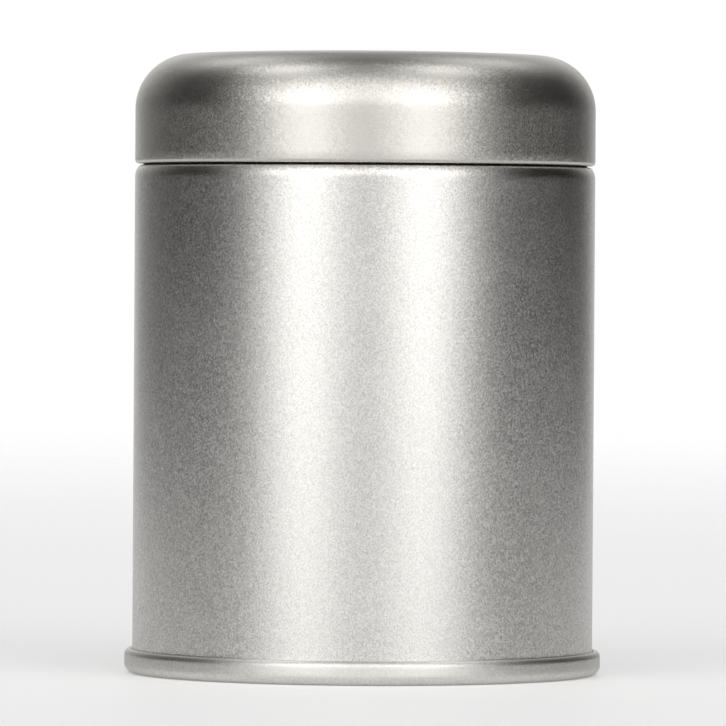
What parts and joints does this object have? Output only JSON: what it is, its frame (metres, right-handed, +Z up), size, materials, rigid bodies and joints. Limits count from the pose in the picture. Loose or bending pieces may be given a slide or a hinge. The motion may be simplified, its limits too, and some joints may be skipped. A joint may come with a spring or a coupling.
{
  "type": "candle tin",
  "caption": "Round tinplate candle tin with a domed slip lid, a double-seamed base and a poured wax filling with a wick.",
  "frame": {"origin": "centre of the base seam's resting ring, where the tin stands", "axes": "+Z up along the tin's axis; the body's welded side seam is at the back, on +Y"},
  "size_m": [0.0672, 0.0672, 0.0878],
  "materials": {
    "tinplate": "satin",
    "lining_compound": "matte",
    "wax": "satin",
    "waxed_cotton": "matte",
    "tab_steel": "satin",
    "adhesive_foam": "matte"
  },
  "bodies": {
    "tin": {"body_shell": "tinplate", "base_end": "tinplate", "seam_sealant": "lining_compound", "wax_fill": "wax", "wick": "waxed_cotton", "wick_tab": "tab_steel", "wick_sticker": "adhesive_foam"},
    "lid": {"lid_shell": "tinplate"}
  },
  "joints": [
    {"name": "lid_lift", "type": "slide", "parent": "tin", "child": "lid", "axis": [0, 0, 1], "range_m": [0, 0.06]}
  ]
}
